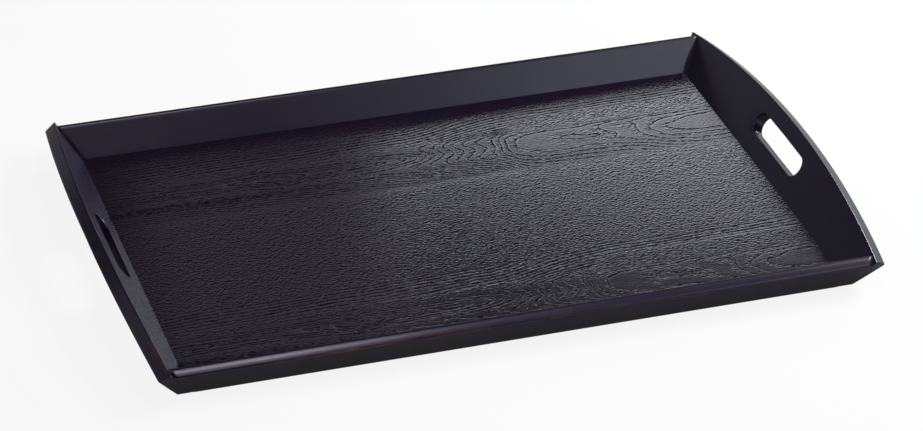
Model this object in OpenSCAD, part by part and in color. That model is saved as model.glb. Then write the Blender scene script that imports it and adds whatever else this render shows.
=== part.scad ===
// Wooden serving tray with four leaning walls.
// Two low straight rails butt between two taller end panels, whose tops are arched
// and which have a hand slot each. A veneered base sits in grooves in all four walls,
// and two dowels pin each corner.
// Millimetres. Origin on the table, under the middle of the floor. X runs along the
// length, Y to the back and Z up.

/* [Floor] */
// Length of the floor between the end panels
floor_length = 526.5; // [360:0.5:700]
// Width of the floor between the rails
floor_width = 343; // [220:0.5:460]
// Height of the floor's top face above the table
floor_height = 7.5; // [6:0.1:12]
// Thickness of the two face leaves
leaf_thickness = 1; // [0.6:0.1:1.6]
// Share of the floor's width that the back leaf covers
leaf_joint_share = 0.56; // [0.3:0.01:0.7]
// Thickness of the core board
core_thickness = 2.7; // [2:0.1:3.5]
// Thickness of the balancing veneer under the core
backing_thickness = 0.6; // [0.4:0.1:1]

/* [Walls] */
// Angle that all four walls lean out from upright
wall_flare = 35.5; // [15:0.5:45]
// Height of the rails' inner top edge above the table
rail_height = 32.6; // [24:0.1:40]
// Thickness of the rails, square to their faces
rail_thickness = 9.5; // [8:0.1:14]
// Rounding of the rails' inner top edge
rail_inner_round = 3; // [0.6:0.1:4]
// Rounding of the rails' outer top edge
rail_outer_round = 1.6; // [0.6:0.1:4]

/* [End panels] */
// Thickness of the end panels, square to their faces
end_thickness = 10.5; // [8:0.1:16]
// Height of the arch's crown above the rails' inner top edge
crown_rise = 14.4; // [10:0.1:40]
// Drop of the arch's ends below the rails' inner top edge
corner_drop = 1.6; // [0:0.1:5]
// Bevel along both edges of the arch
arch_bevel = 0.8; // [0.3:0.1:3]

/* [Hand slots] */
// Length of each hand slot
slot_length = 90.5; // [50:0.5:150]
// Height of each hand slot, up the panel's slope
slot_height = 18.5; // [12:0.5:24]
// Wood left between the slot and the crown of the arch
grip_depth = 13.7; // [10:0.1:20]
// Bevel round both rims of the slot
slot_bevel = 0.6; // [0.2:0.1:2]

/* [Joints] */
// Depth of the base grooves, level into the walls from the floor's edge
groove_depth = 4; // [2.5:0.1:5]
// Play between the base's edges and the bottom of the grooves
groove_play = 0.4; // [0.1:0.1:1]
// Play above the base in the grooves
groove_headroom = 0.1; // [0.05:0.05:0.4]
// Diameter of the corner dowels
dowel_diameter = 5; // [4:0.1:6]
// Length of the corner dowels
dowel_length = 24; // [18:0.5:36]
// Chamfer on the dowels' ends
dowel_chamfer = 0.5; // [0.2:0.1:1]
// Glue room round each dowel
dowel_clearance = 0.05; // [0.02:0.01:0.2]
// Glue room past each end of a dowel
dowel_end_room = 0.3; // [0.1:0.1:1]

/* [Hidden] */

// How far every cutting shape runs past what it cuts
overrun = 2;
// Facets of a full turn: the wide arch, the slot's ends and small roundings
arch_facets = 720;
slot_facets = 96;
round_facets = 48;

// Shares of the rail's slope above the floor at which the two dowels sit
dowel_place_shares = [0.3, 0.73];
// Share of the end panel's level thickness that a dowel enters
dowel_seat_share = 0.6;

// Sides of the object: right and back are plus, left and front are minus
right = 1;
left = -1;
back = 1;
front = -1;
lower = 0;
upper = 1;

// Heights above the table
base_thickness = leaf_thickness + core_thickness + backing_thickness;
base_bottom = floor_height - base_thickness;
core_bottom = base_bottom + backing_thickness;
leaf_bottom = core_bottom + core_thickness;
crown_height = rail_height + crown_rise;
corner_height = rail_height - corner_drop;

// Level thickness of a leaning wall
rail_level = rail_thickness / cos(wall_flare);
end_level = end_thickness / cos(wall_flare);

// Inner faces of the walls at a height above the table
function inner_x(z) = floor_length / 2 + (z - floor_height) * tan(wall_flare);
function inner_y(z) = floor_width / 2 + (z - floor_height) * tan(wall_flare);

// The arch is a round arc on the panel's slope, through the crown and both corners
arch_half_chord = inner_y(corner_height) + rail_level;
arch_sagitta = (crown_height - corner_height) / cos(wall_flare);
arch_radius = (pow(arch_half_chord, 2) + pow(arch_sagitta, 2)) / (2 * arch_sagitta);
crown_slope = crown_height / cos(wall_flare);
slot_slope = crown_slope - grip_depth - slot_height / 2;

// Dowel axes, measured up the rail's slope from the table
floor_slope = floor_height / cos(wall_flare);
rail_slope = rail_height / cos(wall_flare);
dowel_seat = end_level * dowel_seat_share;
function dowel_slope(place) =
    floor_slope + (rail_slope - floor_slope) * dowel_place_shares[place];
function dowel_y(place) = inner_y(0)
    + dowel_slope(place) * sin(wall_flare)
    + rail_thickness / 2 * cos(wall_flare);
function dowel_z(place) =
    dowel_slope(place) * cos(wall_flare) - rail_thickness / 2 * sin(wall_flare);

wall_color = "#2a272d";
leaf_color = "#38353c";
core_color = "#8a6d4c";
backing_color = "#4a4038";
dowel_color = "#c9a877";

// Cut for one rounded corner of a strip, with the corner at the origin
module corner_cut(radius) {
    difference() {
        translate([-radius, -overrun]) square([radius + overrun, radius + overrun]);
        translate([-radius, radius]) circle(r = radius, $fn = round_facets);
    }
}

// Strip from the origin along X, with its two far corners rounded
module eased_strip(reach, thickness, face_round, back_round) {
    difference() {
        square([reach, thickness]);
        translate([reach, 0]) corner_cut(face_round);
        translate([reach, thickness]) mirror([0, 1]) corner_cut(back_round);
    }
}

// Level slab of the base, reaching into all four grooves
module base_slab(bottom, thickness) {
    reach = groove_depth - groove_play;
    translate([-floor_length / 2 - reach, -floor_width / 2 - reach, bottom])
        cube([floor_length + 2 * reach, floor_width + 2 * reach, thickness]);
}

// Part of the face layer that lies behind the leaf joint
module behind_leaf_joint() {
    joint_y = floor_width / 2 - floor_width * leaf_joint_share;
    translate([-floor_length / 2 - groove_depth, joint_y, leaf_bottom - overrun])
        cube([
            floor_length + 2 * groove_depth,
            floor_width,
            leaf_thickness + 2 * overrun
        ]);
}

// Room that the grooves leave for the base
module base_groove() {
    translate([
        -floor_length / 2 - groove_depth,
        -floor_width / 2 - groove_depth,
        base_bottom
    ])
        cube([
            floor_length + 2 * groove_depth,
            floor_width + 2 * groove_depth,
            base_thickness + groove_headroom
        ]);
}

// Wedge along X between the two planes that hold the rails' outer faces
module between_rail_faces() {
    top = crown_height + overrun;
    half_run = inner_x(top) + end_level + overrun;
    rotate([90, 0, 90])
        linear_extrude(height = 2 * half_run, center = true)
            polygon([
                [-inner_y(0) - rail_level, 0],
                [inner_y(0) + rail_level, 0],
                [inner_y(top) + rail_level, top],
                [-inner_y(top) - rail_level, top]
            ]);
}

// Wedge along Y between the inner faces of the two end panels
module between_end_faces() {
    top = rail_height + overrun;
    half_run = inner_y(top) + rail_level + overrun;
    rotate([90, 0, 0])
        linear_extrude(height = 2 * half_run, center = true)
            polygon([
                [-inner_x(0), 0],
                [inner_x(0), 0],
                [inner_x(top), top],
                [-inner_x(top), top]
            ]);
}

// Moves a shape onto the right end panel: Z becomes the way out through the panel,
// and X the way down its slope from the given height on the slope
module on_right_end(slope) {
    translate([inner_x(0) + slope * sin(wall_flare), 0, slope * cos(wall_flare)])
        rotate([0, 90 + wall_flare, 0])
            children();
}

// Disc whose rim is the arch, with both of its edges bevelled
module arch_disc() {
    on_right_end(crown_slope - arch_radius)
        rotate_extrude($fn = arch_facets)
            polygon([
                [0, 0],
                [arch_radius - arch_bevel, 0],
                [arch_radius, arch_bevel],
                [arch_radius, end_thickness - arch_bevel],
                [arch_radius - arch_bevel, end_thickness],
                [0, end_thickness]
            ]);
}

// Half section of the hand slot, which opens out at both rims
module slot_section() {
    half = slot_height / 2;
    rim = half + slot_bevel + overrun;
    polygon([
        [0, -overrun],
        [rim, -overrun],
        [half, slot_bevel],
        [half, end_thickness - slot_bevel],
        [rim, end_thickness + overrun],
        [0, end_thickness + overrun]
    ]);
}

// Hand slot: a straight run with a half turn at each end
module slot_cutter() {
    straight = slot_length - slot_height;
    on_right_end(slot_slope) {
        for (side = [left, right])
            translate([0, side * straight / 2, 0])
                rotate_extrude($fn = slot_facets) slot_section();
        rotate([90, 0, 0])
            linear_extrude(height = straight, center = true) {
                slot_section();
                mirror([1, 0]) slot_section();
            }
    }
}

// Rod along X that ends at a depth past the end panel's inner face
module corner_rod(side_x, side_y, place, radius, length, seat, chamfer) {
    far_x = inner_x(dowel_z(place)) + seat;
    mirror([side_x < 0 ? 1 : 0, 0, 0])
        translate([far_x - length, side_y * dowel_y(place), dowel_z(place)])
            rotate([0, 90, 0])
                rotate_extrude($fn = round_facets)
                    polygon([
                        [0, 0],
                        [radius - chamfer, 0],
                        [radius, chamfer],
                        [radius, length - chamfer],
                        [radius - chamfer, length],
                        [0, length]
                    ]);
}

module dowel(side_x, side_y, place) {
    color(dowel_color)
        corner_rod(
            side_x, side_y, place,
            dowel_diameter / 2, dowel_length, dowel_seat, dowel_chamfer
        );
}

// Blind holes for the dowels of every corner
module dowel_holes() {
    length = dowel_length + 2 * dowel_end_room;
    for (side_x = [left, right], side_y = [front, back], place = [lower, upper])
        mirror([side_x < 0 ? 1 : 0, 0, 0])
            translate([
                inner_x(dowel_z(place)) + dowel_seat + dowel_end_room - length,
                side_y * dowel_y(place),
                dowel_z(place)
            ])
                rotate([0, 90, 0])
                    cylinder(
                        r = dowel_diameter / 2 + dowel_clearance,
                        h = length,
                        $fn = round_facets
                    );
}

// Back rail: a leaning board with a rounded top, cut level at the table
module rail_at_back() {
    difference() {
        intersection() {
            rotate([90, 0, 90])
                linear_extrude(height = 2 * inner_x(crown_height), center = true)
                    translate([inner_y(0), 0])
                        rotate(90 - wall_flare)
                            mirror([0, 1])
                                translate([-rail_slope, 0])
                                    eased_strip(
                                        2 * rail_slope, rail_thickness,
                                        rail_inner_round, rail_outer_round
                                    );
            between_end_faces();
        }
        base_groove();
        dowel_holes();
    }
}

// Right end panel: an arched leaning board with a hand slot and a stopped groove
module end_at_right() {
    difference() {
        intersection() {
            arch_disc();
            between_rail_faces();
        }
        slot_cutter();
        base_groove();
        dowel_holes();
    }
}

module base_core() {
    color(core_color) base_slab(core_bottom, core_thickness);
}

module floor_leaf_back() {
    color(leaf_color)
        intersection() {
            base_slab(leaf_bottom, leaf_thickness);
            behind_leaf_joint();
        }
}

module floor_leaf_front() {
    color(leaf_color)
        difference() {
            base_slab(leaf_bottom, leaf_thickness);
            behind_leaf_joint();
        }
}

module base_backing() {
    color(backing_color) base_slab(base_bottom, backing_thickness);
}

module back_rail() {
    color(wall_color) rail_at_back();
}

module front_rail() {
    color(wall_color) mirror([0, 1, 0]) rail_at_back();
}

module right_end() {
    color(wall_color) end_at_right();
}

module left_end() {
    color(wall_color) mirror([1, 0, 0]) end_at_right();
}

module front_left_lower_dowel() { dowel(left, front, lower); }
module front_left_upper_dowel() { dowel(left, front, upper); }
module front_right_lower_dowel() { dowel(right, front, lower); }
module front_right_upper_dowel() { dowel(right, front, upper); }
module back_left_lower_dowel() { dowel(left, back, lower); }
module back_left_upper_dowel() { dowel(left, back, upper); }
module back_right_lower_dowel() { dowel(right, back, lower); }
module back_right_upper_dowel() { dowel(right, back, upper); }

base_core();
floor_leaf_back();
floor_leaf_front();
base_backing();
front_rail();
back_rail();
left_end();
right_end();
front_left_lower_dowel();
front_left_upper_dowel();
front_right_lower_dowel();
front_right_upper_dowel();
back_left_lower_dowel();
back_left_upper_dowel();
back_right_lower_dowel();
back_right_upper_dowel();
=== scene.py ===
import math

import bmesh
import bpy
import numpy as np
from mathutils import Matrix, Vector


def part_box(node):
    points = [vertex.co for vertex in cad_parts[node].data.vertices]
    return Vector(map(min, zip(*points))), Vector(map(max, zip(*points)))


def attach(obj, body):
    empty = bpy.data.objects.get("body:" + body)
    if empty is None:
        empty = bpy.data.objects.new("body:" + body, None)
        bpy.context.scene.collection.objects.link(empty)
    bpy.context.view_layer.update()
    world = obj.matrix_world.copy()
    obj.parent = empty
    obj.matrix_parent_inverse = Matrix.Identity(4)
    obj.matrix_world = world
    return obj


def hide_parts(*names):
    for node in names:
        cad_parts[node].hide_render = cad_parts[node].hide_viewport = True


# Wooden tray: two rails between two arched end panels with hand slots, and a floor of two
# slip-matched oak leaves whose grain is brushed into relief. Lengths are in metres.

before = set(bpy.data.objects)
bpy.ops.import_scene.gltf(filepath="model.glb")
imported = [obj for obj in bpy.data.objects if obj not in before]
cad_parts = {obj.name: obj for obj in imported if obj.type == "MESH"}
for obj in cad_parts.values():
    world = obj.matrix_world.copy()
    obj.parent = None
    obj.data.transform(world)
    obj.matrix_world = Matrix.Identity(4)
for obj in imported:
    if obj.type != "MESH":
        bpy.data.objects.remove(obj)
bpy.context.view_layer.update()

MM = 0.001

# Sizes of the walls, as the solids have them
FLARE = math.radians(35.5)
RAIL_THICKNESS = 9.5 * MM
RAIL_HEIGHT = 32.6 * MM
END_THICKNESS = 10.5 * MM
GROOVE_DEPTH = 4 * MM
GROOVE_PLAY = 0.4 * MM
GROOVE_HEADROOM = 0.1 * MM
SLOT_LENGTH = 90.5 * MM
SLOT_HEIGHT = 18.5 * MM
GRIP_DEPTH = 13.7 * MM
CROWN_RISE = 14.4 * MM
CORNER_DROP = 1.6 * MM
TAN, SIN, COS = math.tan(FLARE), math.sin(FLARE), math.cos(FLARE)

# Places of the floor, from its solids: the leaves reach into the grooves of the walls
back_low, back_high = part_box("floor_leaf_back")
front_low, front_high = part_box("floor_leaf_front")
FLOOR_Z = back_high.z
LEAF_BOTTOM = back_low.z
BASE_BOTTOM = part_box("base_backing")[0].z
FLOOR_HALF_X = back_high.x - GROOVE_DEPTH + GROOVE_PLAY
FLOOR_HALF_Y = back_high.y - GROOVE_DEPTH + GROOVE_PLAY

# Heights of the ends' arched top at its crown and at its corners, both from the rails' top
CROWN_HEIGHT = RAIL_HEIGHT + CROWN_RISE
CORNER_HEIGHT = RAIL_HEIGHT - CORNER_DROP


def inner_x(z):
    """Inner face of the end panels: half the floor plus the lean times the height over it."""
    return FLOOR_HALF_X + (z - FLOOR_Z) * TAN


def inner_y(z):
    """Inner face of the rails: half the floor plus the lean times the height over it."""
    return FLOOR_HALF_Y + (z - FLOOR_Z) * TAN


# Curves and noise


def rise(x, middle, half_width):
    """Smooth step from 0 to 1: half of one plus tanh of the distance over the half width."""
    return 0.5 * (1 + np.tanh((x - middle) / half_width))


def bell(x, middle, half_width):
    """Bell of height 1: e to minus the squared distance in half widths."""
    return np.exp(-(((x - middle) / half_width) ** 2))


def ramp(x, softness):
    """Zero below 0 and x above it, rounded: softness times log(1 + e^(x / softness))."""
    return np.log1p(np.exp(x / softness)) * softness


def ripple(x, v, cell_x, cell_v, seed):
    """Smooth noise from -1 to 1: random values on a lattice, blended by 3t^2 - 2t^3."""
    column = np.floor(x / cell_x).astype(int)
    row = np.floor(v / cell_v).astype(int)
    s = x / cell_x - column
    t = v / cell_v - row
    s = s * s * (3 - 2 * s)
    t = t * t * (3 - 2 * t)
    count = 256
    lattice = np.random.default_rng(seed).uniform(-1, 1, (count, count))
    left, right = np.mod(column, count), np.mod(column + 1, count)
    near, far = np.mod(row, count), np.mod(row + 1, count)
    low = lattice[left, near] * (1 - s) + lattice[right, near] * s
    high = lattice[left, far] * (1 - s) + lattice[right, far] * s
    return low * (1 - t) + high * t


def rub_spots(run, cell, threshold, seed):
    """True on the stretches of a run where noise in cells of that length is over a threshold."""
    return ripple(run, run, cell, cell, seed) > threshold


# Meshes from grids


def closed_piece(name, points, faces, flat_count=0):
    """Mesh object through points and faces, with its normals turned outwards.

    Its last flat_count faces are flat with sharp edges round them, and the rest are smooth.
    """
    mesh = bpy.data.meshes.new(name)
    mesh.from_pydata(points.tolist(), [], faces)
    work = bmesh.new()
    work.from_mesh(mesh)
    bmesh.ops.recalc_face_normals(work, faces=work.faces)
    work.to_mesh(mesh)
    work.free()
    is_flat = np.arange(len(faces)) >= len(faces) - flat_count
    mesh.polygons.foreach_set("use_smooth", ~is_flat)
    loop_edge = np.empty(len(mesh.loops), int)
    mesh.loops.foreach_get("edge_index", loop_edge)
    loop_count = np.empty(len(faces), int)
    mesh.polygons.foreach_get("loop_total", loop_count)
    sharp = np.zeros(len(mesh.edges), bool)
    sharp[loop_edge[np.repeat(is_flat, loop_count)]] = True
    mesh.edges.foreach_set("use_edge_sharp", sharp)
    mesh.update()
    piece = bpy.data.objects.new(name, mesh)
    bpy.context.scene.collection.objects.link(piece)
    return piece


def grid_faces(rows, columns, close_rows=False, close_columns=False):
    """Quads of a rows by columns grid of points, closed round where asked."""
    row = np.arange(rows if close_rows else rows - 1)
    column = np.arange(columns if close_columns else columns - 1)
    r, c = np.meshgrid(row, column, indexing="ij")
    r2, c2 = (r + 1) % rows, (c + 1) % columns
    quads = np.stack(
        [r * columns + c, r2 * columns + c, r2 * columns + c2, r * columns + c2], -1
    )
    return quads.reshape(-1, 4)


def give_attribute(piece, name, values):
    """Stores one number per point on a piece."""
    attribute = piece.data.attributes.new(name, "FLOAT", "POINT")
    attribute.data.foreach_set("value", np.asarray(values, np.float32).ravel())


def turned(a, p, b, t):
    """Round from a to b about the corner p: (1-t)^2 a + 2 t (1-t) p + t^2 b."""
    return (1 - t) ** 2 * a + 2 * t * (1 - t) * p + t**2 * b


def eased_outline(corners, rounds, step, arc_count=9):
    """Closed outline through corners, each turned by a round that begins that far from it.

    The straights between the rounds are cut into equal steps, none longer than step.
    """
    corners = np.asarray(corners, float)
    count = len(corners)
    points = []
    for i in range(count):
        before, here, after = corners[i - 1], corners[i], corners[(i + 1) % count]
        back = (before - here) / np.linalg.norm(before - here)
        ahead = (after - here) / np.linalg.norm(after - here)
        start = here + ahead * rounds[i]
        if rounds[i] > 0:
            t = np.linspace(0, 1, arc_count)[:, None]
            points.append(turned(here + back * rounds[i], here, start, t))
        else:
            points.append(here[None])
        end = after - ahead * rounds[(i + 1) % count]
        cuts = max(1, int(np.ceil(np.linalg.norm(end - start) / step)))
        t = (np.arange(1, cuts) / cuts)[:, None]
        points.append(start * (1 - t) + end * t)
    return np.concatenate(points)


# Rails: a section carried along X between the two leaning end panels

RAIL_INNER_ROUND = 2.5 * MM
RAIL_TOP_ROUND = 1.7 * MM
RAIL_OUTER_ROUND = 2 * MM
RAIL_FOOT_ROUND = 0.5 * MM
RAIL_LIP_ROUND = 0.1 * MM
JOINT_EASE = 0.18 * MM

# Top of a rail: how far its middle stands over the rail's height and its arrises lie under
# it, and where across the rail that middle is
RAIL_CROWN = 0.25 * MM
RAIL_FALL = 0.2 * MM
RAIL_CROWN_PLACE_SHARE = 0.45

# Fineness of the section's straights, and the number of sections along a rail
SECTION_STEP = 2.5 * MM
RAIL_COUNT = 161

# Half widths of the dull line on the inner top arris and of the wear on the outer one
DULL_LINE_WIDTH = 1.5 * MM
WEAR_WIDTH = 2.2 * MM

# Rubbed stretches of the front rail: middle and half length in mm from the tray's middle
LONG_RUB, SHORT_RUB = (-140, 62), (72, 9)
SHORT_RUB_SHARE = 0.7

# Spots of wear: cell length in mm, threshold and seed, and how strongly they are rubbed
FRONT_SPOTS, FRONT_SPOT_SHARE = (23, 0.4, 8), 0.25
BACK_SPOTS, BACK_SPOT_SHARE = (31, 0.3, 9), 0.3
END_SPOTS, END_SPOT_SHARE = (27, 0.45, 12), 0.5


def rail_section():
    """Section of the back rail in Y and Z: leaning faces, rounded top, level foot, base groove.

    Two bells of the distance come with it, one from the inner top arris and one from the
    outer.
    """
    slope_top = RAIL_HEIGHT / COS
    foot_y = inner_y(0)
    groove_y = FLOOR_HALF_Y + GROOVE_DEPTH
    groove_top = FLOOR_Z + GROOVE_HEADROOM

    def at(slope, depth):
        return (foot_y + slope * SIN + depth * COS, slope * COS - depth * SIN)

    inner_top = at(slope_top - RAIL_FALL, 0)
    outer_top = at(slope_top - RAIL_FALL, RAIL_THICKNESS)
    turns = [
        (at(0, 0), RAIL_FOOT_ROUND),
        ((inner_y(BASE_BOTTOM), BASE_BOTTOM), 0),
        ((groove_y, BASE_BOTTOM), 0),
        ((groove_y, groove_top), 0),
        ((inner_y(groove_top), groove_top), RAIL_LIP_ROUND),
        (inner_top, RAIL_INNER_ROUND),
        (at(slope_top + RAIL_CROWN, RAIL_THICKNESS * RAIL_CROWN_PLACE_SHARE), RAIL_TOP_ROUND),
        (outer_top, RAIL_OUTER_ROUND),
        (at(RAIL_THICKNESS * TAN, RAIL_THICKNESS), RAIL_FOOT_ROUND),
    ]
    corners, rounds = zip(*turns)
    points = eased_outline(corners, rounds, SECTION_STEP)
    inner_arris = bell(np.linalg.norm(points - inner_top, axis=1), 0, DULL_LINE_WIDTH)
    outer_arris = bell(np.linalg.norm(points - outer_top, axis=1), 0, WEAR_WIDTH)
    return points, inner_arris, outer_arris


def rail(name, side):
    """Rail at the back (side 1) or front (side -1).

    Point (i, j) is section point j at x = w_i inner_x(z_j), with w from -1 to 1. The last
    step at each end draws the section in by the joint's easing. The attribute "rubbed" is
    the wear along the outer top arris, and "dull_line" marks the inner one.
    """
    section, inner_arris, outer_arris = rail_section()
    middle = section.mean(0)
    along = np.linspace(-1, 1, RAIL_COUNT)
    ease_share = JOINT_EASE / FLOOR_HALF_X
    along = np.concatenate([[-1], np.clip(along, -1 + ease_share, 1 - ease_share), [1]])
    ends = np.zeros(len(along))
    ends[[0, -1]] = 1
    out = section - middle
    out = out / np.linalg.norm(out, axis=1, keepdims=True)
    rings = section[None] - out[None] * (JOINT_EASE * ends)[:, None, None]
    x = along[:, None] * inner_x(rings[..., 1])
    points = np.stack([x, side * rings[..., 0], rings[..., 1]], -1)
    count = len(section)
    faces = grid_faces(len(along), count, close_columns=True).tolist()
    faces.append(list(range(count)))
    faces.append(list(range((len(along) - 1) * count, len(along) * count)))
    piece = closed_piece(name, points.reshape(-1, 3), faces, 2)
    run = x / MM
    if side > 0:
        wear = BACK_SPOT_SHARE * rub_spots(run, *BACK_SPOTS)
    else:
        wear = bell(run, *LONG_RUB) + SHORT_RUB_SHARE * bell(run, *SHORT_RUB)
        wear = wear + FRONT_SPOT_SHARE * rub_spots(run, *FRONT_SPOTS)
    give_attribute(piece, "rubbed", wear * outer_arris)
    give_attribute(piece, "dull_line", np.tile(inner_arris, len(along)))
    return piece


# End panels: a tube of section round the hand slot, from its rim out to the panel's edge

ARCH_ROUND = 1.5 * MM
FOOT_ROUND = 0.5 * MM
SLOT_ROUND = 0.9 * MM
CORNER_ROUND = 1.6 * MM

# Height at which the edge's round grows from the foot's to the arch's, and its half width
ROUND_CHANGE_Z = 20 * MM
ROUND_CHANGE_WIDTH = 6 * MM

# Points along the outlines of panel and slot, and along the section between them
FOOT_COUNT, SIDE_COUNT, ARCH_COUNT, CORNER_COUNT = 120, 18, 200, 7
FACE_COUNT, EDGE_COUNT, ARRIS_COUNT = 10, 5, 8

# Where the panel's edge, flush with the rails' outer faces, meets the table
EDGE_FOOT_Y = inner_y(0) + RAIL_THICKNESS / COS

# Places up the slope of the panel's inner face: crown, middle of the slot, and the arch's
# centre, with its radius from its half chord at the corners and its sagitta
CROWN_SLOPE = CROWN_HEIGHT / COS
SLOT_SLOPE = CROWN_SLOPE - GRIP_DEPTH - SLOT_HEIGHT / 2
ARCH_HALF_CHORD = inner_y(CORNER_HEIGHT) + RAIL_THICKNESS / COS
ARCH_SAGITTA = (CROWN_HEIGHT - CORNER_HEIGHT) / COS
ARCH_RADIUS = (ARCH_HALF_CHORD**2 + ARCH_SAGITTA**2) / (2 * ARCH_SAGITTA)
ARCH_CENTRE = CROWN_SLOPE - ARCH_RADIUS


def edge_y(slope, depth):
    """Plane of the rails' outer faces, at a slope and depth of the end panel."""
    return EDGE_FOOT_Y + (slope * COS - depth * SIN) * TAN


def arch_corner(depth):
    """Where the arch meets the edge plane.

    On the plane y = a + SIN run, with run the way up from the arch's centre, and the arch
    is y^2 + run^2 = radius^2, so run is the upper root of the two together.
    """
    a = EDGE_FOOT_Y - depth * SIN * TAN + ARCH_CENTRE * SIN
    square = 1 + SIN**2
    root = math.sqrt((a * SIN) ** 2 - square * (a**2 - ARCH_RADIUS**2))
    slope = ARCH_CENTRE + (-a * SIN + root) / square
    return edge_y(slope, depth), slope


def panel_outline(depth):
    """Outline of the panel at a depth: level foot, back edge, arch and front edge.

    Y is the first column and the way up the slope the second. The arch is
    (R sin a, centre + R cos a), and every corner is turned.
    """
    foot = depth * TAN
    foot_y = edge_y(foot, depth)
    top_y, top = arch_corner(depth)
    half_angle = math.asin(top_y / ARCH_RADIUS)
    turn = CORNER_ROUND / ARCH_RADIUS
    up = np.array([top_y - foot_y, top - foot])
    up = up / np.linalg.norm(up)
    flip = np.array([-1, 1])
    low_corner = np.array([foot_y, foot])
    high_corner = np.array([top_y, top])
    angle = np.linspace(half_angle - turn, -half_angle + turn, ARCH_COUNT)
    arch = np.stack([ARCH_RADIUS * np.sin(angle), ARCH_CENTRE + ARCH_RADIUS * np.cos(angle)], 1)
    low_start = low_corner - np.array([CORNER_ROUND, 0])
    low_end = low_corner + up * CORNER_ROUND
    high_start = high_corner - up * CORNER_ROUND
    s = np.linspace(0, 1, FOOT_COUNT)[1:-1, None]
    foot_line = low_start * flip * (1 - s) + low_start * s
    s = np.linspace(0, 1, SIDE_COUNT)[1:-1, None]
    side_line = low_end * (1 - s) + high_start * s
    t = np.linspace(0, 1, CORNER_COUNT)[:, None]
    low_turn = turned(low_start, low_corner, low_end, t)
    high_turn = turned(high_start, high_corner, arch[0], t)
    front_edge = [(part * flip)[::-1] for part in (high_turn, side_line, low_turn)]
    return np.concatenate([foot_line, low_turn, side_line, high_turn, arch[1:-1], *front_edge])


def slot_outline():
    """Outline of the hand slot with as many points as the panel's outline has.

    The lower straight faces the foot, the two half turns the front and back edges, and the
    upper straight the arch.
    """
    radius = SLOT_HEIGHT / 2
    half = (SLOT_LENGTH - SLOT_HEIGHT) / 2
    s = np.linspace(-1, 1, FOOT_COUNT)[1:-1]
    lower = np.stack([s * half, np.full(len(s), SLOT_SLOPE - radius)], 1)
    turn_count = 2 * CORNER_COUNT + SIDE_COUNT - 2
    angle = np.linspace(-math.pi / 2, math.pi / 2, turn_count)
    turn = np.stack([half + radius * np.cos(angle), SLOT_SLOPE + radius * np.sin(angle)], 1)
    s = np.linspace(1, -1, ARCH_COUNT)[1:-1]
    upper = np.stack([s * half, np.full(len(s), SLOT_SLOPE + radius)], 1)
    return np.concatenate([lower, turn, upper, (turn * np.array([-1, 1]))[::-1]])


def end_panel(name, side):
    """End panel on the right (side 1) or left (side -1).

    Point (i, j): i runs round the slot, and j round a section from the slot's rim over the
    inner face to the panel's edge and back over the outer face and through the slot, with
    every arris turned. The attribute "rubbed" is the wear in spots along the arrises.
    """

    def place(flat, depth):
        x = inner_x(0) + flat[:, 1] * SIN + depth * COS
        return np.stack([x, flat[:, 0], flat[:, 1] * COS - depth * SIN], 1)

    def unit(v):
        return v / np.linalg.norm(v, axis=1, keepdims=True)

    def arris(a, p, b):
        t = np.linspace(0, 1, ARRIS_COUNT)[None, :, None]
        return turned(a[:, None], p[:, None], b[:, None], t)

    def straight(a, b, count):
        t = (np.arange(1, count) / count)[None, :, None]
        return a[:, None] * (1 - t) + b[:, None] * t

    rim_in, rim_out = place(slot_outline(), 0), place(slot_outline(), END_THICKNESS)
    edge_in = place(panel_outline(0), 0)
    edge_out = place(panel_outline(END_THICKNESS), END_THICKNESS)
    across_in = unit(edge_in - rim_in)
    across_out = unit(edge_out - rim_out)
    through_rim = unit(rim_out - rim_in)
    through_edge = unit(edge_out - edge_in)
    arch_share = rise(edge_in[:, 2:], ROUND_CHANGE_Z, ROUND_CHANGE_WIDTH)
    edge_round = FOOT_ROUND + (ARCH_ROUND - FOOT_ROUND) * arch_share
    inner_start = rim_in + across_in * SLOT_ROUND
    inner_end = edge_in - across_in * edge_round
    edge_start = edge_in + through_edge * edge_round
    edge_end = edge_out - through_edge * edge_round
    outer_start = edge_out - across_out * edge_round
    outer_end = rim_out + across_out * SLOT_ROUND
    slot_start = rim_out - through_rim * SLOT_ROUND
    slot_end = rim_in + through_rim * SLOT_ROUND
    parts = [
        straight(inner_start, inner_end, FACE_COUNT),
        arris(inner_end, edge_in, edge_start),
        straight(edge_start, edge_end, EDGE_COUNT),
        arris(edge_end, edge_out, outer_start),
        straight(outer_start, outer_end, FACE_COUNT),
        arris(outer_end, rim_out, slot_start),
        straight(slot_start, slot_end, EDGE_COUNT),
        arris(slot_end, rim_in, inner_start),
    ]
    is_arris = np.concatenate([np.full(p.shape[1], i % 2) for i, p in enumerate(parts)])
    points = np.concatenate(parts, 1)
    points[..., 0] *= side
    rows, columns = points.shape[:2]
    faces = grid_faces(rows, columns, close_rows=True, close_columns=True).tolist()
    piece = closed_piece(name, points.reshape(-1, 3), faces)
    wear = END_SPOT_SHARE * rub_spots(points[..., 1] / MM, *END_SPOTS)
    give_attribute(piece, "rubbed", wear * is_arris)
    return piece


# Floor leaves: the growth rings of a flat-sawn leaf, brushed into relief

SLIP = 227.5 * MM
RELIEF = 0.05 * MM
RELIEF_STEP_X = 2.1 * MM
RELIEF_STEP_Y = 0.6 * MM
JOINT_FADE = 3 * MM
EARLY_WOOD_SHARE = 0.17

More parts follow.
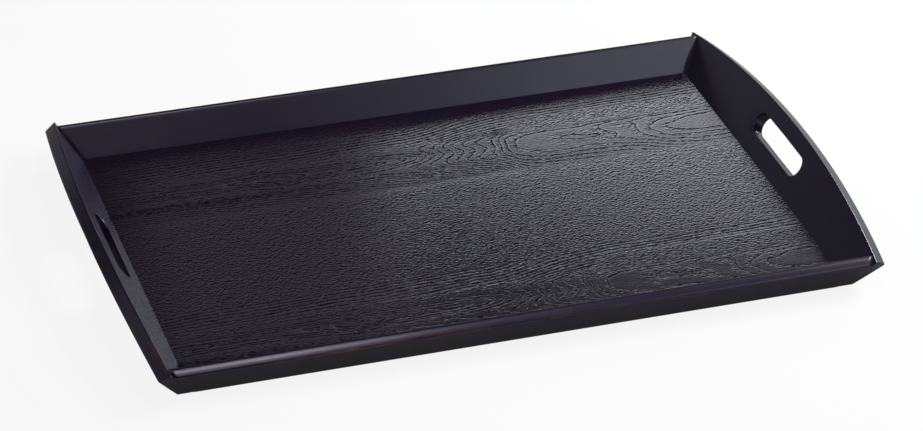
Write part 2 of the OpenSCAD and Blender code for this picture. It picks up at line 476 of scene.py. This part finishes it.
# Landmarks of the figure, in mm along the grain (x) from the floor's left end and across it
# (v) from the back wall: the flights where the rings climb, the heart, the flanks' crests
# with the notch between them, the eyes and the last tongue
FLIGHT_X = (300, 337, 463)
HEART_V = 55
BACK_CREST_V, NOTCH_V, FRONT_CREST_V = 62, 74.5, 91
LEFT_EYE_X, LEFT_EYE_V = 143, 79.5
RIGHT_EYE_X, RIGHT_EYE_V = 393, 76
TONGUE_X, TONGUE_V = 472, 62


def ring_count(x, v):
    """Growth rings passed at x mm along the grain and v mm across it.

    The rings climb to the right in three flights and fall away down a back and a front
    flank. A notch between the flanks' crests, deep on the left and shallow on the right,
    makes the tongues and zigzags. Bells make the closed eye at the left, the porous eye at
    the right and the last tongue, and ripples keep the lines from running even.
    """
    first, second, third = FLIGHT_X
    heart = rise(v, HEART_V, 5)
    climb = 6.7 * rise(x, first, 34) * (0.68 + 0.32 * heart) + 0.006 * (x - 268)
    steps = 1.9 * rise(x, second, 9) + 3.3 * rise(x, third, 22)
    climb = climb + steps * (0.1 + 0.9 * heart)
    back = ramp(BACK_CREST_V - v, 3) / 4.1
    front = ramp(v - FRONT_CREST_V, 2.5)
    front = front / (3.9 + 3 * rise(x, 338, 14)) + 1.2 * (front / 34) ** 3
    depth = 3.2 * (1 - rise(x, 264, 18)) + 1.1 * (1 - rise(x, 338, 6))
    notch = depth * bell(v, NOTCH_V, 9.5)
    drift = 0.026 * np.minimum(x - 262, 0) * rise(v, 96, 5)
    shoulder = 1.1 * bell(x, 436, 16) * (1 - rise(v, 71, 4)) * rise(v, 61, 3)
    tongue = 1.5 * rise(x, TONGUE_X, 9) * bell(v, TONGUE_V, 9)
    right_eye = 0.65 * bell(x, RIGHT_EYE_X, 21) * bell(v, RIGHT_EYE_V, 9)
    left_eye = 2.2 * bell(x, LEFT_EYE_X, 20) * bell(v, LEFT_EYE_V, 9)
    spread = 1.2 * (1 - rise(x, 95, 25)) * bell(v, 79, 14)
    wobble = 0.3 * ripple(x, v, 34, 9, seed=3) + 0.15 * ripple(x, v, 11, 4, seed=5)
    count = climb - back - front - notch + drift + shoulder - tongue
    return count + right_eye - left_eye + spread + wobble + 0.25


def ring_strength(x, v):
    """How clearly the rings stand out, from 0 to 1.

    It is a steady 0.16 plus smooth steps up and down again, over a band behind the heart
    and over the heart, and a bell where the first flight is steep.
    """
    right = rise(x, 350, 8)
    band = rise(v, 28 - 4 * right, 3) * (1 - rise(v, 50 - 16 * right, 4))
    band = band * (0.75 + 0.25 * rise(x, 150, 30))
    heart = rise(v, 62, 4) * (1 - rise(v, 112, 10))
    steep = bell(x, 318, 24) * bell(v, 56, 8)
    return np.clip(0.16 + band + heart + 0.8 * steep, 0, 1)


def early_wood(count):
    """Brushed-out share of a ring: a bell round the start of each ring."""
    part = count - np.floor(count)
    return bell(np.minimum(part, 1 - part), 0, EARLY_WOOD_SHARE)


def ring_pace(count, step_x, step_v):
    """Rings per mm square to the ring lines: the length of the ring count's slope."""
    along = np.gradient(count, axis=0) / step_x
    across = np.gradient(count, axis=1) / step_v
    return np.hypot(along, across)


def floor_leaf(name, low, high, slip):
    """Leaf of the floor as a closed slab, with its figure moved to the front by the slip.

    Its top is z = floor - relief * strength * early wood, level along its edges. Attributes
    hold the ring count, the rings' strength and their pace for the finish.
    """
    columns = int((high.x - low.x) / RELIEF_STEP_X) + 1
    rows = int((high.y - low.y) / RELIEF_STEP_Y) + 1
    x, y = np.meshgrid(
        np.linspace(low.x, high.x, columns), np.linspace(low.y, high.y, rows), indexing="ij"
    )
    grain_x = (x + FLOOR_HALF_X) / MM
    grain_v = (FLOOR_HALF_Y - y - slip) / MM
    count = ring_count(grain_x, grain_v)
    strength = ring_strength(grain_x, grain_v)
    pace = ring_pace(count, (x[1, 0] - x[0, 0]) / MM, (y[0, 1] - y[0, 0]) / MM)
    seam = np.minimum(np.abs(y - low.y), np.abs(high.y - y)) / JOINT_FADE
    z = FLOOR_Z - RELIEF * np.clip(seam, 0, 1) * strength * early_wood(count)
    top = np.stack([x, y, z], -1).reshape(-1, 3)
    bottom = top.copy()
    bottom[:, 2] = LEAF_BOTTOM
    edge = np.concatenate(
        [
            np.arange(columns) * rows,
            (columns - 1) * rows + np.arange(1, rows),
            (np.arange(columns - 1) * rows + rows - 1)[::-1],
            np.arange(1, rows - 1)[::-1],
        ]
    )
    quads = grid_faces(columns, rows)
    start = len(top)
    here = np.arange(len(edge))
    ahead = np.roll(here, -1)
    sides = np.stack([edge[here], edge[ahead], start + ahead, start + here], 1)
    faces = quads.tolist() + sides.tolist() + [(start + here)[::-1].tolist()]
    points = np.concatenate([top, bottom[edge]])
    piece = closed_piece(name, points, faces, len(sides) + 1)
    stored = (("ring_count", count, 0.0), ("ring_strength", strength, 0.0), ("ring_pace", pace, 1.0))
    for label, values, below in stored:
        skirt = np.full(len(edge), below)
        give_attribute(piece, label, np.concatenate([values.ravel(), skirt]))
    return piece


# Materials


def put(tree, kind, sockets=None, **settings):
    """Adds a node, sets its settings, and links or sets its sockets."""
    made = tree.nodes.new(kind)
    for name, value in settings.items():
        setattr(made, name, value)
    for key, value in (sockets or {}).items():
        if isinstance(value, bpy.types.NodeSocket):
            tree.links.new(value, made.inputs[key])
        else:
            made.inputs[key].default_value = value
    return made


def new_material(name):
    """Empty node material with its output node."""
    material = bpy.data.materials.new(name)
    material.use_nodes = True
    tree = material.node_tree
    tree.nodes.clear()
    return material, tree, tree.nodes.new("ShaderNodeOutputMaterial")


def math_node(tree, operation, a, b=0.0):
    """Sum, product or other plain operation on two numbers."""
    return put(tree, "ShaderNodeMath", {0: a, 1: b}, operation=operation).outputs[0]


def scaled(tree, scale, shift=(0, 0, 0)):
    """Object coordinates stretched by a scale per axis and then shifted."""
    coordinates = put(tree, "ShaderNodeTexCoord").outputs["Object"]
    made = put(
        tree, "ShaderNodeMapping", {"Vector": coordinates, "Scale": scale, "Location": shift}
    )
    return made.outputs[0]


def noise(tree, vector, scale, detail=3.0, roughness=0.5):
    """Fractal noise about one half."""
    made = put(
        tree,
        "ShaderNodeTexNoise",
        {"Vector": vector, "Scale": scale, "Detail": detail, "Roughness": roughness},
    )
    return made.outputs[0]


def fitted(tree, value, low, high, to_low=0.0, to_high=1.0, smooth=True):
    """Maps a number from one range to another, clamped, by a smooth step or a straight line."""
    made = put(
        tree,
        "ShaderNodeMapRange",
        {0: value, 1: low, 2: high, 3: to_low, 4: to_high},
        interpolation_type="SMOOTHSTEP" if smooth else "LINEAR",
    )
    return made.outputs[0]


def blend(tree, share, a, b):
    """Mixes two colours by a share."""
    made = put(tree, "ShaderNodeMix", {0: share}, data_type="RGBA")
    for key, value in ((6, a), (7, b)):
        if isinstance(value, bpy.types.NodeSocket):
            tree.links.new(value, made.inputs[key])
        else:
            made.inputs[key].default_value = value
    return made.outputs[2]


def attribute(tree, name):
    """Number stored on the piece's points."""
    return put(tree, "ShaderNodeAttribute", attribute_name=name).outputs["Fac"]


def seen_directly(tree, rays):
    """1 for rays of the camera, straight or through something clear."""
    return math_node(
        tree, "MAXIMUM", rays.outputs["Is Camera Ray"], rays.outputs["Is Transmission Ray"]
    )


def coat(tree, output, sockets, height, depth, strength=1.0):
    """Surface with the given sockets, bumped by a height times a depth in metres."""
    bump = put(
        tree, "ShaderNodeBump", {"Height": height, "Strength": strength, "Distance": depth}
    )
    shader = put(tree, "ShaderNodeBsdfPrincipled", {**sockets, "Normal": bump.outputs[0]})
    tree.links.new(shader.outputs[0], output.inputs["Surface"])


# Satin lacquer of the walls. Its streaks and rubbed patches follow the grain, and its
# roughness drifts in wide clouds
BLACK_STAIN = (0.0112, 0.0082, 0.0245, 1)
BLACK_STAIN_WARM = (0.015, 0.0092, 0.0235, 1)
RUBBED_BROWN = (0.16, 0.055, 0.028, 1)
STREAK_SCALE = 220
PATCH_SCALE = 260
PATCH_LOW, PATCH_HIGH = 0.44, 0.6
RUBBED_SHARE = 0.8
CLOUD_SCALE = 9
SATIN_ROUGHNESS = 0.26
SATIN_DRIFT = 0.12
SATIN_SHEEN, DULL_SHEEN = 0.5, 0.1
SATIN_IOR = 1.5
SATIN_BUMP = 0.02 * MM


def lacquer(name, grain):
    """Black stain under a satin coat on smooth wood, with brown showing where arrises are rubbed.

    grain stretches the noise along the wood's grain. The coat's sheen falls along the
    attribute "dull_line".
    """
    material, tree, output = new_material(name)
    along = scaled(tree, grain)
    streaks = noise(tree, along, STREAK_SCALE, 4, 0.6)
    clouds = noise(tree, scaled(tree, (1, 1, 1)), CLOUD_SCALE, 2)
    stain = blend(tree, streaks, BLACK_STAIN, BLACK_STAIN_WARM)
    patches = fitted(tree, noise(tree, along, PATCH_SCALE, 3, 0.65), PATCH_LOW, PATCH_HIGH)
    rubbed = math_node(tree, "MULTIPLY", attribute(tree, "rubbed"), patches)
    colour = blend(tree, math_node(tree, "MULTIPLY", rubbed, RUBBED_SHARE), stain, RUBBED_BROWN)
    sheen = fitted(tree, attribute(tree, "dull_line"), 0.2, 0.8, SATIN_SHEEN, DULL_SHEEN)
    drift = math_node(tree, "MULTIPLY", clouds, SATIN_DRIFT)
    satin = math_node(tree, "ADD", drift, SATIN_ROUGHNESS - SATIN_DRIFT / 2)
    height = math_node(tree, "ADD", streaks, math_node(tree, "MULTIPLY", clouds, 2.0))
    sockets = {
        "Base Color": colour,
        "Roughness": satin,
        "Specular IOR Level": sheen,
        "IOR": SATIN_IOR,
    }
    coat(tree, output, sockets, height, SATIN_BUMP)
    return material


# Brushed oak of the floor: its stain in hollows, and the two that drift over the fibres
DEEP_STAIN = (0.0087, 0.0052, 0.0125, 1)
VIOLET_STAIN = (0.015, 0.0073, 0.0175, 1)
SLATE_STAIN = (0.0114, 0.0086, 0.0182, 1)
OAK_ROUGHNESS = 0.22
OAK_IOR = 1.6
OAK_BUMP = 0.04 * MM

# Where the groove, the ridge and the late wood of a ring have ended and where they are
# full, in mm from the ring's start, and how wide their edges fray
GROOVE_END, GROOVE_FULL = 1.0, 0.45
RIDGE_END, RIDGE_FULL = 2.6, 1.2
LATE_END, LATE_FULL = 4.6, 1.9
FRAY_GRAIN, FRAY_SCALE, FRAY_WIDTH = (0.3, 1, 1), 620, 1.6
LATE_FRAY = 1.5

# Space between rings, in mm, past which the late wood widens with the ring
WIDE_RING = 5.5

# Rows of deeper groove, and clouds in which the stain drifts
ROW_GRAIN, ROW_SCALE = (0.35, 1, 1), 640
DRIFT_GRAIN, DRIFT_SCALE = (0.6, 1, 1), 34

# Fibres, from noise less the same noise a short way across the grain, about a middle level.
# Then the levels at which a stretch is dull and bright, and its sheens
FIBRE_GRAIN, FIBRE_SCALE = (0.42, 1, 1), 900
FIBRE_SHIFT = 1.25 * MM
FIBRE_MIDDLE = 0.8
OPEN_DULL, OPEN_BRIGHT, OPEN_SHEEN = 0.67, 0.98, 1.28
LATE_DULL, LATE_BRIGHT = 0.6, 1.0
LATE_LOW_SHEEN, LATE_HIGH_SHEEN = 0.2, 0.68
RIDGE_SHEEN = 0.68
TONE_DARK, TONE_LIGHT = 0.74, 1.0

# Heights in the bump: fibres of the open and the late wood, and the groove
OPEN_SWELL, LATE_SWELL, GROOVE_DROP = 2.6, 1.3, 3.0


def relief_oak(name):
    """Black brushed oak, from the rings that a leaf's attributes give.

    Each ring begins with a fine groove and a bright ridge past it, goes on with a smooth
    band of late wood, and ends in open wood of fine fibres, which are dull between their
    ridges. The distance from a ring's start is the part of the ring passed over its pace.
    """
    material, tree, output = new_material(name)
    count = attribute(tree, "ring_count")
    clear = fitted(tree, attribute(tree, "ring_strength"), 0.15, 0.6)
    pace = math_node(tree, "MAXIMUM", attribute(tree, "ring_pace"), 0.02)
    part = math_node(tree, "FRACT", count)
    before = math_node(tree, "DIVIDE", math_node(tree, "SUBTRACT", 1.0, part), pace)
    after = math_node(tree, "DIVIDE", part, pace)
    fray = noise(tree, scaled(tree, FRAY_GRAIN), FRAY_SCALE, 2, 0.6)
    shift = math_node(tree, "MULTIPLY", math_node(tree, "SUBTRACT", fray, 0.5), FRAY_WIDTH)

    # Groove, in rows of deeper and shallower stretches
    nearest = math_node(tree, "ADD", math_node(tree, "MINIMUM", before, after), shift)
    core = fitted(tree, nearest, GROOVE_END, GROOVE_FULL)
    rows = fitted(tree, noise(tree, scaled(tree, ROW_GRAIN), ROW_SCALE, 0), 0.4, 0.52, 0.6, 1)
    groove = math_node(tree, "MULTIPLY", math_node(tree, "MULTIPLY", core, clear), rows)
    open_share = math_node(tree, "SUBTRACT", 1.0, groove)

    # Late wood, of a steady width but in wide rings
    width = math_node(tree, "MINIMUM", after, math_node(tree, "MULTIPLY", part, WIDE_RING))
    reach = math_node(tree, "ADD", width, math_node(tree, "MULTIPLY", shift, LATE_FRAY))
    late = math_node(tree, "MULTIPLY", fitted(tree, reach, LATE_END, LATE_FULL), clear)

    # Fibres
    here = noise(tree, scaled(tree, FIBRE_GRAIN), FIBRE_SCALE, 0)
    beside = noise(tree, scaled(tree, FIBRE_GRAIN, (0, FIBRE_SHIFT, 0)), FIBRE_SCALE, 0)
    fibres = math_node(tree, "ADD", math_node(tree, "SUBTRACT", here, beside), FIBRE_MIDDLE)

    # Sheen, height and stain
    open_sheen = fitted(tree, fibres, OPEN_DULL, OPEN_BRIGHT, 0, OPEN_SHEEN, smooth=False)
    late_sheen = fitted(
        tree, fibres, LATE_DULL, LATE_BRIGHT, LATE_LOW_SHEEN, LATE_HIGH_SHEEN, smooth=False
    )
    smooth_late = fitted(tree, late, 0, 1)
    sheen = put(tree, "ShaderNodeMix", {0: smooth_late, 2: open_sheen, 3: late_sheen}).outputs[0]
    ridge = fitted(tree, after, RIDGE_END, RIDGE_FULL, 0, RIDGE_SHEEN)
    sheen = math_node(tree, "ADD", sheen, math_node(tree, "MULTIPLY", ridge, clear))
    sheen = math_node(tree, "MULTIPLY", sheen, open_share)
    swell = fitted(tree, late, 0, 1, OPEN_SWELL, LATE_SWELL)
    swell = math_node(tree, "MULTIPLY", fibres, swell)
    height = math_node(tree, "SUBTRACT", swell, math_node(tree, "MULTIPLY", groove, GROOVE_DROP))
    clouds = fitted(tree, noise(tree, scaled(tree, DRIFT_GRAIN), DRIFT_SCALE, 2), 0.42, 0.58)
    dry_stain = blend(tree, clouds, VIOLET_STAIN, SLATE_STAIN)
    tone = fitted(tree, fibres, TONE_DARK, TONE_LIGHT, smooth=False)
    stain = blend(tree, math_node(tree, "MULTIPLY", tone, open_share), DEEP_STAIN, dry_stain)
    sockets = {
        "Base Color": stain,
        "Roughness": OAK_ROUGHNESS,
        "Specular IOR Level": sheen,
        "IOR": OAK_IOR,
    }
    coat(tree, output, sockets, height, OAK_BUMP)
    return material


# Relief of the unlacquered woods: backing, core and dowels
RAW_BUMP = 0.1 * MM
RAW_BUMP_SHARE = 0.6


def raw_wood(name, light, dark, grain, scale, roughness):
    """Bare or matt stained wood: streaks along the grain between two colours."""
    material, tree, output = new_material(name)
    streaks = noise(tree, scaled(tree, grain), scale, 5, 0.6)
    colour = blend(tree, fitted(tree, streaks, 0.3, 0.7), dark, light)
    sockets = {"Base Color": colour, "Roughness": roughness}
    coat(tree, output, sockets, streaks, RAW_BUMP, RAW_BUMP_SHARE)
    return material


rail_finish = lacquer("black_satin_rail", (0.06, 1, 1))
end_finish = lacquer("black_satin_end", (1, 0.06, 1))
floor_finish = relief_oak("black_relief_oak")
backing_finish = raw_wood(
    "black_backing", (0.035, 0.03, 0.03, 1), (0.018, 0.015, 0.016, 1), (0.05, 1, 1), 300, 0.6
)
core_finish = raw_wood(
    "core_edge", (0.42, 0.3, 0.18, 1), (0.26, 0.17, 0.1, 1), (0.08, 1, 1), 200, 0.75
)
dowel_finish = raw_wood(
    "turned_dowel", (0.68, 0.5, 0.3, 1), (0.5, 0.34, 0.18, 1), (0.08, 1, 1), 400, 0.6
)


# Pieces


def fit_out(piece, material, slot_name, *nodes):
    """Gives a piece its finish and body, and puts it in place of its solids."""
    piece.data.materials.append(material)
    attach(piece, "root")
    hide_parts(*nodes)


fit_out(rail("back_rail_board", 1), rail_finish, "black_satin_wood", "back_rail")
fit_out(rail("front_rail_board", -1), rail_finish, "black_satin_wood", "front_rail")
fit_out(end_panel("right_end_board", 1), end_finish, "black_satin_wood", "right_end")
fit_out(end_panel("left_end_board", -1), end_finish, "black_satin_wood", "left_end")
fit_out(
    floor_leaf("back_floor_leaf", back_low, back_high, 0),
    floor_finish,
    "relief_oak",
    "floor_leaf_back",
)
fit_out(
    floor_leaf("front_floor_leaf", front_low, front_high, SLIP),
    floor_finish,
    "relief_oak",
    "floor_leaf_front",
)

for node_name, node_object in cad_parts.items():
    finish = core_finish
    if node_name.endswith("dowel"):
        finish = dowel_finish
    if node_name == "base_backing":
        finish = backing_finish
    node_object.data.materials.clear()
    node_object.data.materials.append(finish)


# Studio

TABLE_HALF = 9.0
TABLE_GAP = 0.05 * MM
TABLE_COLOUR = (0.8, 0.8, 0.8, 1)
WHITE = (1, 1, 1, 1)

# Share of plain white in what the camera sees of the table, the rest being lit and shadowed
WHITE_SHARE = 0.88

# Painted glow that reflections see in place of the lit table: dim close under the tray, as
# painted shade, and bright out in the open, and the open share of the sky at which each
# begins, within a reach
TABLE_SHADE, TABLE_GLOW = 0.1, 0.62
SHADED_SHARE, OPEN_SHARE = 0.55, 1.0
SHADE_REACH = 0.25

# Light of the room itself, beside the lamps
ROOM_GLOW = 0.02


def table_material():
    """Pale table that reads white to the camera and keeps the tray's shadow.

    Reflections see a painted glow on it, bright where it lies open and painted shade close under the
    tray.
    """
    material, tree, output = new_material("pale_table")
    rays = put(tree, "ShaderNodeLightPath")
    white_share = math_node(tree, "MULTIPLY", seen_directly(tree, rays), WHITE_SHARE)
    diffuse = put(tree, "ShaderNodeBsdfDiffuse", {"Color": TABLE_COLOUR}).outputs[0]
    white = put(tree, "ShaderNodeEmission", {"Color": WHITE, "Strength": 1.0}).outputs[0]
    plain = put(tree, "ShaderNodeMixShader", {0: white_share, 1: diffuse, 2: white}).outputs[0]
    # Painted shade: the glow that reflections see dims where the occlusion node finds the tray close
    shade = put(tree, "ShaderNodeAmbientOcclusion", {"Distance": SHADE_REACH}, samples=8)
    painted_glow_strength = fitted(tree, shade.outputs["AO"], SHADED_SHARE, OPEN_SHARE, TABLE_SHADE, TABLE_GLOW)
    painted_table_glow = put(tree, "ShaderNodeEmission", {"Color": WHITE, "Strength": painted_glow_strength}).outputs[0]
    glossy = rays.outputs["Is Glossy Ray"]
    both = put(tree, "ShaderNodeMixShader", {0: glossy, 1: plain, 2: painted_table_glow}).outputs[0]
    tree.links.new(both, output.inputs["Surface"])
    return material


def table():
    """Flat square sheet just under the tray."""
    mesh = bpy.data.meshes.new("table")
    s, z = TABLE_HALF, -TABLE_GAP
    mesh.from_pydata([(-s, -s, z), (s, -s, z), (s, s, z), (-s, s, z)], [], [(0, 1, 2, 3)])
    mesh.materials.append(table_material())
    piece = bpy.data.objects.new("table", mesh)
    bpy.context.scene.collection.objects.link(piece)


def toward(azimuth, elevation):
    """Unit vector at an azimuth to the right of +Y and an elevation, in degrees."""
    a, e = math.radians(azimuth), math.radians(elevation)
    return Vector((math.sin(a) * math.cos(e), math.cos(a) * math.cos(e), math.sin(e)))


def lamp(name, azimuth, elevation, distance, width, height, power, colour=(1, 1, 1)):
    """Soft rectangular lamp in a direction from the tray, facing it, in metres and watts."""
    light = bpy.data.lights.new(name, "AREA")
    light.shape = "RECTANGLE"
    light.size = width
    light.size_y = height
    light.energy = power
    light.color = colour
    made = bpy.data.objects.new(name, light)
    way = toward(azimuth, elevation)
    made.location = way * distance
    made.rotation_euler = way.to_track_quat("Z", "Y").to_euler()
    made.visible_camera = False
    bpy.context.scene.collection.objects.link(made)


table()
lamp("key", 36.6, 19.1, 0.7, 0.6, 0.2, 0.76, (0.94, 1.02, 1.06))
lamp("back_strip", 0, 18.4, 0.607, 0.28, 0.82, 0.13, (0.97, 0.9, 1.13))
lamp("back_right", 26, 25, 2.0, 0.4, 0.3, 0.15, (0.97, 0.9, 1.13))
lamp("low_right", 60, 20, 2.0, 0.5, 0.5, 14.3, (0.88, 1.05, 1.07))
lamp("high_right", 95, 45, 1.5, 0.6, 0.4, 15.1, (1.03, 0.98, 0.99))
lamp("front", 140, 37, 2.0, 0.7, 0.7, 3.35, (0.88, 0.97, 1.15))
lamp("overhead", 178, 67, 1.27, 0.3, 0.3, 2.85, (0.98, 0.94, 1.08))
lamp("soft_left", 260, 50, 2.0, 1.2, 1.2, 3.7)
lamp("back_left", 300, 25, 1.5, 0.6, 0.4, 0.31, (1.0, 0.92, 1.08))
lamp("low_left", 325, 8, 1.5, 0.6, 0.3, 0.15, (0.92, 0.87, 1.21))


def studio_world():
    """Room that reads white to the camera and lights the tray only faintly."""
    world = bpy.data.worlds.new("studio")
    bpy.context.scene.world = world
    world.use_nodes = True
    sky = world.node_tree
    sky.nodes.clear()
    seen = seen_directly(sky, put(sky, "ShaderNodeLightPath"))
    dim = put(sky, "ShaderNodeBackground", {"Color": WHITE, "Strength": ROOM_GLOW}).outputs[0]
    bright = put(sky, "ShaderNodeBackground", {"Color": WHITE, "Strength": 1.0}).outputs[0]
    mixed = put(sky, "ShaderNodeMixShader", {0: seen, 1: dim, 2: bright}).outputs[0]
    put(sky, "ShaderNodeOutputWorld", {"Surface": mixed})


studio_world()

# Camera, at the photograph's angle: degrees to the left of the tray's front, above the
# table and turned about its own axis, with the lens and the sensor in mm

CAMERA_AZIMUTH = 18.266
CAMERA_ELEVATION = 30.719
CAMERA_ROLL = 0.859
CAMERA_DISTANCE = 2.9063
CAMERA_TARGET = Vector((4.8 * MM, -7.3 * MM, 10.9 * MM))
CAMERA_LENS, CAMERA_SENSOR = 141.974, 36
CAMERA_NEAR, CAMERA_FAR = 0.05, 60

camera_data = bpy.data.cameras.new("camera")
camera_data.sensor_width = CAMERA_SENSOR
camera_data.lens = CAMERA_LENS
camera_data.clip_start = CAMERA_NEAR
camera_data.clip_end = CAMERA_FAR
camera = bpy.data.objects.new("camera", camera_data)
back = toward(180 + CAMERA_AZIMUTH, CAMERA_ELEVATION)
camera.location = CAMERA_TARGET + back * CAMERA_DISTANCE
facing = (-back).to_track_quat("-Z", "Y").to_matrix()
roll = Matrix.Rotation(math.radians(CAMERA_ROLL), 3, "Z")
camera.rotation_mode = "QUATERNION"
camera.rotation_quaternion = (facing @ roll).to_quaternion()
bpy.context.scene.collection.objects.link(camera)
bpy.context.scene.camera = camera
bpy.context.scene.view_settings.view_transform = "Standard"
